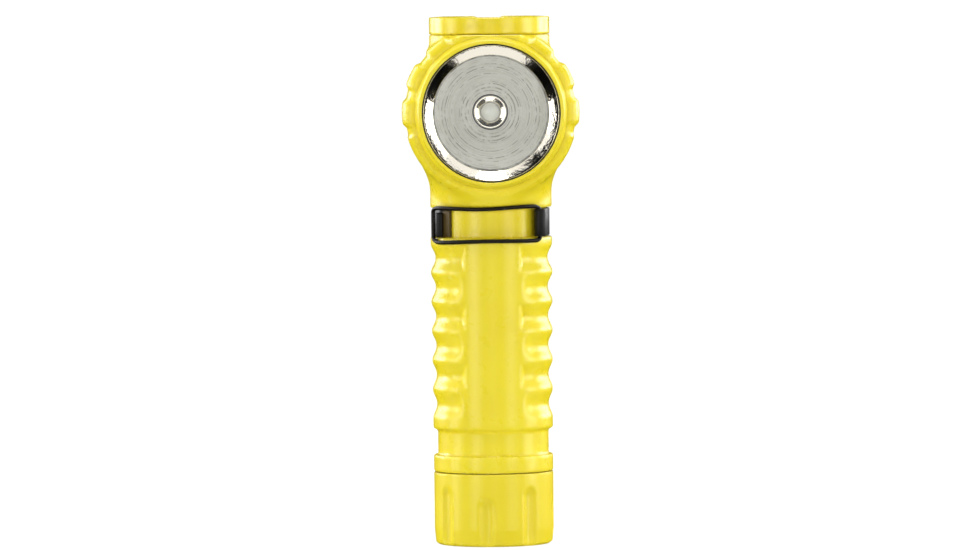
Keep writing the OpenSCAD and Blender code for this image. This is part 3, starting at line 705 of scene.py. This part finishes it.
def make_clip():
    # The centre line in the y, z plane: up the base, over the bend, down the arm, in to touch the
    # barrel and out again at the tip.
    steel, gap, bend_z = 1.0, 4.2, 86.0
    inner, base_z = BASE[0][1], BASE[0][2]
    bend_r = gap / 2 + steel / 2
    bend = np.array([inner + steel + gap / 2, bend_z])
    knee = np.array([bend[0] + bend_r - 0.1, 52.0])
    touch = np.array([inner + 1.4, 38.5])
    tip = np.array([inner + 3.9, 32.5])
    line = [np.array([bend[0] - bend_r, z]) for z in np.linspace(base_z, bend_z, 12)]
    line += [bend + polar(bend_r, a) for a in np.linspace(180, 0, 33)[1:]]
    top = line[-1]
    line += [top + (knee - top) * t for t in np.linspace(0, 1, 16)[1:]]
    line += cubic(knee, np.array([0, -5.0]), touch, np.array([0, -4.0]), 20)
    line += cubic(touch, np.array([0, -3.0]), tip, np.array([1.4, -2.0]), 12)
    line, normals = ribbon_frames(line)

    # The strip keeps its width down to the tip, where it ends in a round.
    full_half = (ARM[1][0] - ARM[0][0]) / 2
    tip_round_z = 36.5
    corner = section(2, steel, 0.22, 3)
    m, n = len(corner), len(line)
    points, faces = [], []
    for (y, z), normal in zip(line, normals):
        half = full_half
        if z < tip_round_z:
            half = math.sqrt(max((full_half + 0.6) ** 2 - (z - tip_round_z) ** 2, 4)) - 0.6
        half = min(half, full_half)
        for s, t in corner:
            x = s + math.copysign(half - 1, s)
            points.append((x, y + normal[0] * t, z + normal[1] * t))
    for i in range(n - 1):
        for k in range(m):
            l = (k + 1) % m
            faces.append((i * m + k, i * m + l, (i + 1) * m + l, (i + 1) * m + k))
    faces.append(tuple(range(m - 1, -1, -1)))
    faces.append(tuple((n - 1) * m + k for k in range(m)))
    obj = new_object("pocket_clip", points, faces, 40)
    fix_normals(obj)
    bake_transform(obj)
    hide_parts("clip_base", "clip_arm")
    return obj


def make_rivets():
    pieces = []
    seat = BASE[0][1] + 1.0
    shank_r, shank_foot, off_centre = 0.88, 13.6, 1.7
    head = [(1.5, 0.05), (1.46, 0.3), (1.2, 0.52), (0.7, 0.6), (0, 0.6)]
    for name, side in (("lower", -1), ("upper", 1)):
        outline = [(0, shank_foot), (shank_r, shank_foot), (shank_r, seat + 0.05)]
        outline += [(r, seat + rise) for r, rise in head]
        obj = lathe("rivet_" + name, outline, segments=40, smooth_angle=50)
        turn = Matrix.Rotation(math.radians(-90), 4, "X")
        height = (CLIP_Z + side * off_centre) * MM
        obj.data.transform(Matrix.Translation((0, 0, height)) @ turn)
        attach(obj, "housing")
        pieces.append(obj)
    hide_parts("clip_rivets")
    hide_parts("clip_rivets")
    return pieces


def rail_corner(at, toward, half, length, height):
    """Angles and heights from an upright leg round into a rail, as a quarter ellipse."""
    along = math.degrees(length / BAIL_R) * toward
    return [(at + along * (1 - math.cos(a)), half - height + height * math.sin(a))
            for a in np.radians(np.linspace(0, 90, 10))]


def bail_rail(side, half, pinch, right_corner, left_corner):
    """Angles and heights of one rail, from its right corner to its left, pinched in the middle."""
    right = rail_corner(HINGE_A, -1, half, *right_corner)
    left = rail_corner(LEG_A, 1, half, *left_corner)[::-1]
    run = left[0][0] - right[-1][0]
    middle = [(right[-1][0] + run * u, half - pinch * math.sin(math.pi * u) ** 2)
              for u in np.linspace(0, 1, 65)[1:-1]]
    return [(a, side * h) for a, h in right + middle + left]


def make_bail():
    low = bail_rail(-1, 4.12, 0.22, (1.6, 1.1), (3.4, 1.4))
    high = bail_rail(1, 4.25, 0.38, (3.0, 1.3), (2.4, 1.0))
    lean_height = 0.2
    path, guides = [], []
    for a, h in low + high[::-1]:
        lean = 2 * (a - LEG_A) / (HINGE_A - LEG_A) - 1
        p, q = polar(BAIL_R, a), polar(1, a)
        path.append(np.array([p[0], p[1], BAIL_Z + h + lean_height * lean]))
        guides.append(np.array([q[0], q[1], 0]))
    across, up = [], []
    n = len(path)
    for i in range(n):
        t = path[(i + 1) % n] - path[(i - 1) % n]
        t = t / np.linalg.norm(t)
        u = guides[i] - (guides[i] @ t) * t
        u = u / np.linalg.norm(u)
        across.append(u)
        up.append(np.cross(t, u))
    obj = sweep("bail_wire", path, across, up, circle(WIRE_R, 18), closed=True, smooth_angle=80)
    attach(obj, "bail")
    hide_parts("wire_bail")
    return obj


# Materials

class Nodes:
    """A short way to build one node material."""

    def __init__(self, name):
        self.material = bpy.data.materials.new(name)
        self.material.use_nodes = True
        self.tree = self.material.node_tree
        self.tree.nodes.clear()
        self.out = self.tree.nodes.new("ShaderNodeOutputMaterial")
        self.place = self.add("ShaderNodeTexCoord").outputs["Object"]

    def add(self, kind, inputs=None, **settings):
        node = self.tree.nodes.new(kind)
        for key, value in settings.items():
            setattr(node, key, value)
        for key, value in (inputs or {}).items():
            self.feed(node.inputs[key], value)
        return node

    def feed(self, socket, value):
        if isinstance(value, bpy.types.NodeSocket):
            self.tree.links.new(value, socket)
        else:
            socket.default_value = value

    def math(self, operation, *values):
        node = self.add("ShaderNodeMath", operation=operation)
        for socket, value in zip(node.inputs, values):
            self.feed(socket, value)
        return node.outputs[0]

    def noise(self, size_mm, detail=3.0, roughness=0.5, where=None, dims="3D"):
        node = self.add("ShaderNodeTexNoise", noise_dimensions=dims,
                        inputs={"Scale": 1 / (size_mm * MM), "Detail": detail, "Roughness": roughness})
        if dims == "1D":
            self.feed(node.inputs["W"], where)
        else:
            self.feed(node.inputs["Vector"], where if where is not None else self.place)
        return node.outputs["Fac"]

    def span(self, value, low, high, to_low, to_high):
        node = self.add("ShaderNodeMapRange", inputs={
            "Value": value, "From Min": low, "From Max": high, "To Min": to_low, "To Max": to_high})
        return node.outputs[0]

    def mix(self, factor, a, b):
        node = self.add("ShaderNodeMix", data_type="RGBA")
        self.feed(node.inputs["Factor"], factor)
        self.feed(node.inputs["A"], a)
        self.feed(node.inputs["B"], b)
        return node.outputs["Result"]

    def lamp_radius(self):
        """Distance from the lamp's axis, in metres."""
        split = self.add("ShaderNodeSeparateXYZ", inputs={"Vector": self.place})
        up = self.math("SUBTRACT", split.outputs["Z"], LAMP_Z * MM)
        x = split.outputs["X"]
        squares = self.math("ADD", self.math("MULTIPLY", x, x), self.math("MULTIPLY", up, up))
        return self.math("SQRT", squares)

    def bump(self, height, strength, depth_mm, normal=None):
        node = self.add("ShaderNodeBump", inputs={"Height": height, "Strength": strength,
                                                  "Distance": depth_mm * MM})
        if normal is not None:
            self.feed(node.inputs["Normal"], normal)
        return node.outputs["Normal"]

    def surface(self, **inputs):
        names = {key.replace("_", " "): value for key, value in inputs.items()}
        shader = self.add("ShaderNodeBsdfPrincipled", inputs=names)
        self.tree.links.new(shader.outputs[0], self.out.inputs["Surface"])
        return self.material


def colour(red, green, blue):
    """A display colour, 0 to 255, as linear light."""
    def linear(c):
        c = c / 255
        return c / 12.92 if c <= 0.04045 else ((c + 0.055) / 1.055) ** 2.4
    return (linear(red), linear(green), linear(blue), 1.0)


PAINTED_CREASE_SHADE, RUBBED_NYLON, PAINTED_YELLOW_REFLECTION = (150, 118, 6), (250, 240, 120), (74, 58, 14)
RUBBED_STEEL, SCORED = (96, 92, 84), (255, 255, 253)
LINE_SHADE, RIM_PAINTED_SHADOW = (158, 155, 144), (96, 95, 90)


def yellow_nylon(name, base=(243, 225, 42), dark=(233, 209, 30), roughness=0.29):
    """Moulded nylon: soft mottling, a fine stipple, painted shade in the creases and paler rubbed
    edges.
    """
    n = Nodes(name)
    mottle = n.noise(16.0, 3.0, 0.5)
    fine = n.noise(0.22, 2.0, 0.55)
    grain = n.noise(0.09, 1.0, 0.5)
    tone = n.mix(n.span(mottle, 0.3, 0.7, 0, 0.5), colour(*base), colour(*dark))
    speck = n.span(fine, 0.62, 0.8, 0, 0.18)
    tone = n.mix(speck, tone, colour(*[c * 0.9 for c in dark]))
    # Painted shade: creases and recesses are darkened towards a dark olive by ambient occlusion.
    ao = n.add("ShaderNodeAmbientOcclusion", inputs={"Distance": 1.2 * MM}, samples=8)
    crease_shade = n.span(ao.outputs["AO"], 0.25, 0.8, 0.45, 0)
    tone = n.mix(crease_shade, tone, colour(*PAINTED_CREASE_SHADE))
    edge = n.add("ShaderNodeNewGeometry").outputs["Pointiness"]
    worn = n.span(n.math("ADD", edge, n.math("MULTIPLY", fine, 0.03)), 0.545, 0.62, 0, 0.3)
    tone = n.mix(worn, tone, colour(*RUBBED_NYLON))
    gloss = n.span(n.noise(3.0, 3.0, 0.6), 0.3, 0.7, roughness - 0.03, roughness + 0.03)
    normal = n.bump(fine, 0.45, 0.025, n.bump(grain, 0.3, 0.012))
    return n.surface(Base_Color=tone, Roughness=gloss, Normal=normal, IOR=1.5,
                     Subsurface_Weight=0.06, Subsurface_Radius=(1.0, 0.7, 0.1),
                     Subsurface_Scale=0.8 * MM)


def chrome(name):
    """Plated ring, slightly wavy, so that what it mirrors breaks up."""
    n = Nodes(name)
    wave = n.noise(2.2, 2.0, 0.5)
    ripple = n.noise(0.55, 2.0, 0.6)
    scratch = n.noise(0.12, 4.0, 0.7)
    height = n.math("ADD", n.math("MULTIPLY", wave, 0.7), n.math("MULTIPLY", ripple, 0.16))
    normal = n.bump(height, 1.0, 0.12, n.bump(scratch, 0.12, 0.01))
    return n.surface(Base_Color=colour(243, 237, 222), Metallic=1.0, Normal=normal,
                     Roughness=n.span(scratch, 0.3, 0.7, 0.07, 0.17))


def reflector_finish(name):
    """Turned and lightly frosted bowl, with broken tool lines and a painted shadow at its rim."""
    n = Nodes(name)
    r = n.lamp_radius()
    lines = n.noise(0.7, 3.0, 0.7, r, "1D")
    hair = n.noise(0.42, 2.0, 0.6, r, "1D")
    broken = n.noise(2.4, 4.0, 0.7)
    patch = n.noise(0.5, 3.0, 0.7)
    height = n.math("MULTIPLY", lines, n.span(broken, 0.35, 0.65, 0.3, 1.0))
    normal = n.bump(height, 0.8, 0.1, n.bump(patch, 0.2, 0.03))
    tone = n.mix(n.span(lines, 0.3, 0.7, 0, 1), colour(236, 235, 228), colour(251, 250, 246))
    scored = n.math("MULTIPLY", n.span(hair, 0.56, 0.66, 0, 1), n.span(broken, 0.5, 0.58, 0, 0.8))
    tone = n.mix(scored, tone, colour(*SCORED))
    worn = n.math("MULTIPLY", n.span(hair, 0.38, 0.49, 1, 0), n.span(broken, 0.46, 0.56, 0.75, 0))
    tone = n.mix(worn, tone, colour(*LINE_SHADE))
    # Painted shadow: a dark ring round the bowl's rim, broken up by noise.
    at_rim = n.span(r, 13.5 * MM, 13.75 * MM, 0, 1)
    seat = n.math("MULTIPLY", at_rim, n.span(broken, 0.4, 0.55, 0.9, 0.45))
    tone = n.mix(seat, tone, colour(*RIM_PAINTED_SHADOW))
    return n.surface(Base_Color=tone, Metallic=0.45, Normal=normal, IOR=1.5,
                     Roughness=n.span(patch, 0.3, 0.7, 0.3, 0.42))


def metal(name, tint, roughness, grain_mm=0.3, strength=0.25, tint_2=None):
    n = Nodes(name)
    grain = n.noise(grain_mm, 3.0, 0.6)
    patch = n.noise(grain_mm * 10, 3.0, 0.6)
    darker = tint_2 or [c * 0.86 for c in tint]
    tone = n.mix(n.span(patch, 0.35, 0.65, 0, 1), colour(*tint), colour(*darker))
    return n.surface(Base_Color=tone, Metallic=1.0, Normal=n.bump(grain, strength, 0.02),
                     Roughness=n.span(grain, 0.3, 0.7, roughness - 0.06, roughness + 0.06))


def black_steel(name, dark=(12, 12, 12), light=(22, 21, 19), reflection_x=None, roughness=0.38):
    """Blackened spring steel with rubbed edges; the optional x range sets where a painted reflection of
    the yellow nylon starts on the front.
    """
    n = Nodes(name)
    grain = n.noise(0.18, 3.0, 0.6)
    patch = n.noise(2.2, 4.0, 0.65)
    tone = n.mix(n.span(patch, 0.35, 0.7, 0, 1), colour(*dark), colour(*light))
    if reflection_x:
        # Painted reflection: between that x and the middle, the front of the steel is tinted olive
        # brown like the yellow nylon it faces.
        split = n.add("ShaderNodeSeparateXYZ", inputs={"Vector": n.place})
        x, y = split.outputs["X"], split.outputs["Y"]
        starts = n.span(x, reflection_x[0] * MM, reflection_x[1] * MM, 0, 1)
        yellow_reflection = n.math("MULTIPLY", starts, n.span(x, 0, MM, 1, 0))
        yellow_reflection = n.math("MULTIPLY", yellow_reflection, n.span(y, -4 * MM, -2 * MM, 1, 0))
        tone = n.mix(yellow_reflection, tone, colour(*PAINTED_YELLOW_REFLECTION))
    edge = n.add("ShaderNodeNewGeometry").outputs["Pointiness"]
    worn = n.span(n.math("ADD", edge, n.math("MULTIPLY", grain, 0.06)), 0.57, 0.66, 0, 0.55)
    tone = n.mix(worn, tone, colour(*RUBBED_STEEL))
    return n.surface(Base_Color=tone, Metallic=0.25, Normal=n.bump(grain, 0.3, 0.02),
                     Specular_IOR_Level=0.28,
                     Roughness=n.span(patch, 0.3, 0.7, roughness - 0.08, roughness + 0.1))


def plastic(name, tint, roughness=0.5, grain_mm=0.25, strength=0.3):
    n = Nodes(name)
    grain = n.noise(grain_mm, 3.0, 0.6)
    patch = n.noise(grain_mm * 14, 3.0, 0.6)
    tone = n.mix(n.span(patch, 0.35, 0.65, 0, 1), colour(*tint), colour(*[c * 0.85 for c in tint]))
    return n.surface(Base_Color=tone, Normal=n.bump(grain, strength, 0.02),
                     Roughness=n.span(grain, 0.3, 0.7, roughness - 0.06, roughness + 0.06))


def lens_finish(name):
    """Thin clear window: mostly straight through, with a reflection that grows towards grazing."""
    n = Nodes(name)
    haze = n.noise(1.6, 4.0, 0.65)
    scratch = n.noise(0.15, 4.0, 0.7)
    clear = n.add("ShaderNodeBsdfTransparent", inputs={"Color": (0.992, 0.996, 0.994, 1.0)})
    gloss = n.add("ShaderNodeBsdfGlossy", inputs={
        "Color": (1, 1, 1, 1), "Roughness": n.span(haze, 0.3, 0.7, 0.02, 0.07),
        "Normal": n.bump(scratch, 0.03, 0.01)})
    fresnel = n.add("ShaderNodeFresnel", inputs={"IOR": 1.49})
    # Only the outer face reflects, so light that enters the window can also leave it.
    outside = n.math("SUBTRACT", 1.0, n.add("ShaderNodeNewGeometry").outputs["Backfacing"])
    share = n.math("MULTIPLY", fresnel.outputs[0], outside)
    mixed = n.add("ShaderNodeMixShader", inputs={0: share, 1: clear.outputs[0], 2: gloss.outputs[0]})
    n.tree.links.new(mixed.outputs[0], n.out.inputs["Surface"])
    return n.material


def led_finish(name):
    n = Nodes(name)
    speck = n.noise(0.25, 3.0, 0.6)
    tone = n.mix(n.span(speck, 0.35, 0.65, 0, 1), colour(250, 250, 240), colour(238, 238, 228))
    return n.surface(Base_Color=tone, Roughness=0.12, Coat_Weight=1.0, Coat_Roughness=0.03,
                     Subsurface_Weight=0.3, Subsurface_Radius=(1, 1, 0.9), Subsurface_Scale=0.6 * MM,
                     Normal=n.bump(speck, 0.1, 0.02))


def paint(obj, material):
    obj.data.materials.clear()
    obj.data.materials.append(material)


def paint_node(node, material):
    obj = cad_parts[node]
    if not obj.material_slots:
        obj.data.materials.append(material)
    for slot in obj.material_slots:
        slot.material = material


# Build

body = make_body()
cap = make_cap()
guard = make_guard()
lamp = make_lamp()
boot = make_boot()
band = make_band()
clip = make_clip()
rivets = make_rivets()
bail = make_bail()

paint(body, yellow_nylon("body_yellow_nylon"))
paint(cap, yellow_nylon("cap_yellow_nylon", (240, 221, 40), (231, 207, 28), 0.31))
paint(guard, yellow_nylon("guard_yellow_nylon", (238, 220, 40), (229, 206, 28), 0.24))
paint(lamp["bezel"], yellow_nylon("bezel_yellow_nylon", (239, 221, 38), (230, 207, 28), 0.3))
CHROME_FINISH = chrome("chrome_plate")
RUBBER = plastic("black_rubber", (30, 30, 31), 0.62, 0.2, 0.4)
paint(lamp["chrome"], CHROME_FINISH)
paint(lamp["gasket"], RUBBER)
paint(lamp["lens"], lens_finish("lens_clear"))
paint(lamp["reflector"], reflector_finish("reflector_turned"))
paint(lamp["led_ring"], CHROME_FINISH)
paint(lamp["led_dome"], led_finish("led_silicone"))
paint(boot, plastic("boot_rubber", (26, 26, 27), 0.58, 0.3, 0.4))
STEEL = black_steel("black_spring_steel")
for piece in rivets + [clip]:
    paint(piece, STEEL)
# The band's front tail carries a painted reflection of the yellow nylon.
BAND_STEEL = black_steel("band_spring_steel", reflection_x=(-12.1, -11.5))
for piece in band:
    paint(piece, BAND_STEEL)
# The bail's brown tint is a painted reflection of the yellow nylon around it.
paint(bail, black_steel("bail_steel_painted_reflection", (16, 12, 7), (24, 19, 10)))

BRIGHT_STEEL = metal("bright_steel", (176, 178, 182), 0.28)
ALUMINIUM = metal("machined_aluminium", (196, 199, 204), 0.34, 0.4)
BRASS = metal("brass", (206, 168, 92), 0.3, 0.3, 0.25, (184, 142, 70))
CARRIER = plastic("carrier_nylon", (38, 38, 40), 0.48)
BOARD_GREEN = plastic("circuit_board", (24, 84, 52), 0.42, 0.35, 0.2)
CERAMIC = plastic("white_ceramic", (232, 232, 226), 0.38, 0.3, 0.15)
SLEEVE = plastic("cell_sleeve", (40, 96, 58), 0.3, 0.5, 0.12)
LEAD_RED = plastic("lead_red", (156, 36, 32), 0.42)
LEAD_BLACK = plastic("lead_black", (28, 28, 30), 0.42)
NODE_FINISH = {
    "lens_seal": RUBBER, "tube_seal": RUBBER, "led_package": CERAMIC, "led_insulator": CARRIER,
    "led_board": CERAMIC, "driver_spacer": CERAMIC, "board_screws": BRIGHT_STEEL,
    "heat_sink": ALUMINIUM, "driver_board": BOARD_GREEN, "switch_board": BOARD_GREEN,
    "driver_components": CARRIER,
    "led_lead_red": LEAD_RED, "led_lead_black": LEAD_BLACK, "button_core": CARRIER,
    "switch_spring": BRIGHT_STEEL, "switch_module": CARRIER, "switch_leads": LEAD_RED,
    "positive_contact": BRASS, "contact_carrier": CARRIER, "carrier_screws": BRIGHT_STEEL,
    "positive_lead": LEAD_RED, "ground_lead": LEAD_BLACK, "battery_tube": ALUMINIUM,
    "upper_cell": BRIGHT_STEEL, "upper_cell_wrap": SLEEVE, "lower_cell": BRIGHT_STEEL,
    "lower_cell_wrap": SLEEVE, "tail_spring": BRIGHT_STEEL, "tail_contact": BRASS,
    "tail_retainer": BRIGHT_STEEL, "ground_ring": BRASS}
for node, finish in NODE_FINISH.items():
    paint_node(node, finish)


# Stage, lights and camera

def white_stage():
    """A round white floor whose rim rises into a wall all the way round, lit by its own glow, which is
    dimmed towards the middle as painted shade round the object.
    """
    floor_r, bend, wall = 2.6, 0.5, 2.2
    profile = [(0.0, 0.0)] + [(floor_r + bend * math.sin(a), bend - bend * math.cos(a))
                              for a in np.radians(np.linspace(0, 90, 24))] + [(floor_r + bend, wall)]
    sides = 96
    points, faces = [], []
    for r, z in profile[1:]:
        turns = np.linspace(0, 2 * math.pi, sides, endpoint=False)
        points += [(r * math.cos(t), r * math.sin(t), z) for t in turns]
    rows = len(profile) - 1
    for i in range(rows - 1):
        for k in range(sides):
            m = (k + 1) % sides
            faces.append((i * sides + k, (i + 1) * sides + k, (i + 1) * sides + m, i * sides + m))
    faces.append(tuple(range(sides)))
    obj = new_object("studio_bowl", np.array(points) / MM, faces, 60)
    n = Nodes("studio_white")
    shade = n.mix(n.noise(60.0, 2.0), (0.10, 0.10, 0.10, 1), (0.12, 0.12, 0.12, 1))
    diffuse = n.add("ShaderNodeBsdfDiffuse", inputs={"Color": shade})
    # Painted shade: the glow falls from 1.02 to 0.93 towards the middle, darkening the floor round the
    # object's foot.
    away = n.add("ShaderNodeVectorMath", operation="LENGTH", inputs={0: n.place}).outputs["Value"]
    strength = n.span(away, 0.03, 0.3, 0.93, 1.02)
    glow = n.add("ShaderNodeEmission", inputs={"Color": (1, 1, 1, 1), "Strength": strength})
    mixed = n.add("ShaderNodeAddShader", inputs={0: diffuse.outputs[0], 1: glow.outputs[0]})
    n.tree.links.new(mixed.outputs[0], n.out.inputs["Surface"])
    paint(obj, n.material)
    obj.visible_diffuse = False
    obj.visible_glossy = False
    obj.visible_shadow = False


# Degrees from the camera's side, degrees up, width, height (metres) and power (watts).
SOFT_BOXES = {
    "front": (0, 5, 0.34, 0.5, 0.85),
    "front_left": (-35, 5, 0.34, 0.5, 2.3), "front_right": (35, 5, 0.34, 0.5, 1.9),
    "left": (-80, 5, 0.34, 0.5, 2.3), "right": (78, 5, 0.4, 0.5, 3.3),
    "rim_left": (-117, 9, 0.34, 0.34, 3.7), "rim_right": (117, 9, 0.34, 0.34, 3.4),
    "back_left": (-140, 22, 0.34, 0.8, 3.4), "back_right": (140, 22, 0.34, 0.8, 4.0),
    "top_front": (0, 70, 0.34, 0.5, 4.3), "top_back": (180, 60, 0.5, 0.5, 4.6),
    "low_front": (0, -35, 0.5, 0.4, 1.0),
    "low_left": (-60, -35, 0.34, 0.5, 2.2), "low_right": (60, -35, 0.34, 0.5, 2.2),
    "low_side_left": (-105, -30, 0.34, 0.5, 1.7), "low_side_right": (105, -30, 0.34, 0.5, 1.7)}
UNMIRRORED = ("low_left", "low_right", "low_side_left", "low_side_right")
# The table top, the ceiling and two side walls as polished metal sees them: a reflection and no fill.
CARDS = {
    "table_top": (2, -72, 1.3, 0.6, 2.5), "ceiling": (-7, 86, 5.4, 0.85, 15.1),
    "side_left": (-71.6, 28.7, 0.26, 0.4, 0.38), "side_right": (71.6, 28.7, 0.26, 0.4, 0.34)}
MIDDLE = Vector((0, 0, 0.064))


def soft_box(name, azimuth, elevation, width, height, power):
    """A lit rectangle one metre from the middle of the object and facing it."""
    a, e = math.radians(azimuth), math.radians(elevation)
    away = Vector((math.cos(e) * math.sin(a), -math.cos(e) * math.cos(a), math.sin(e)))
    data = bpy.data.lights.new(name, "AREA")
    data.shape = "RECTANGLE"
    data.size, data.size_y = width, height
    data.energy = power
    obj = bpy.data.objects.new(name, data)
    obj.location = MIDDLE + away
    obj.rotation_euler = (-away).to_track_quat("-Z", "Y").to_euler()
    bpy.context.scene.collection.objects.link(obj)
    return obj


white_stage()
for name, box in SOFT_BOXES.items():
    soft_box(name, *box).visible_glossy = name not in UNMIRRORED
for name, card in CARDS.items():
    soft_box(name, *card).visible_diffuse = False
world = bpy.data.worlds.new("studio")
bpy.context.scene.world = world
world.use_nodes = True
background = world.node_tree.nodes["Background"]
background.inputs["Color"].default_value = (1, 1, 1, 1)
background.inputs["Strength"].default_value = 0.08
world.cycles_visibility.glossy = False


def make_camera():
    """A long lens, a centimetre above the top of the light and almost square to its lamp."""
    distance, azimuth, eye_z = 1.85, math.radians(-0.8), 0.139
    frame_width, sensor = 238.4 * MM, 36.0
    aim = Vector((-0.66 * MM, 0, 65.57 * MM))
    data = bpy.data.cameras.new("camera")
    data.sensor_width = sensor
    data.lens = sensor * distance / frame_width
    data.clip_start, data.clip_end = 0.05, 20
    obj = bpy.data.objects.new("camera", data)
    bpy.context.scene.collection.objects.link(obj)
    bpy.context.scene.camera = obj
    eye = Vector((distance * math.sin(azimuth), -distance * math.cos(azimuth), eye_z))
    look = (aim - eye).to_track_quat("-Z", "Y")
    roll = Matrix.Rotation(math.radians(-0.6), 4, "Z")
    obj.matrix_world = Matrix.Translation(eye) @ look.to_matrix().to_4x4() @ roll


make_camera()
bpy.context.scene.view_settings.view_transform = "Standard"
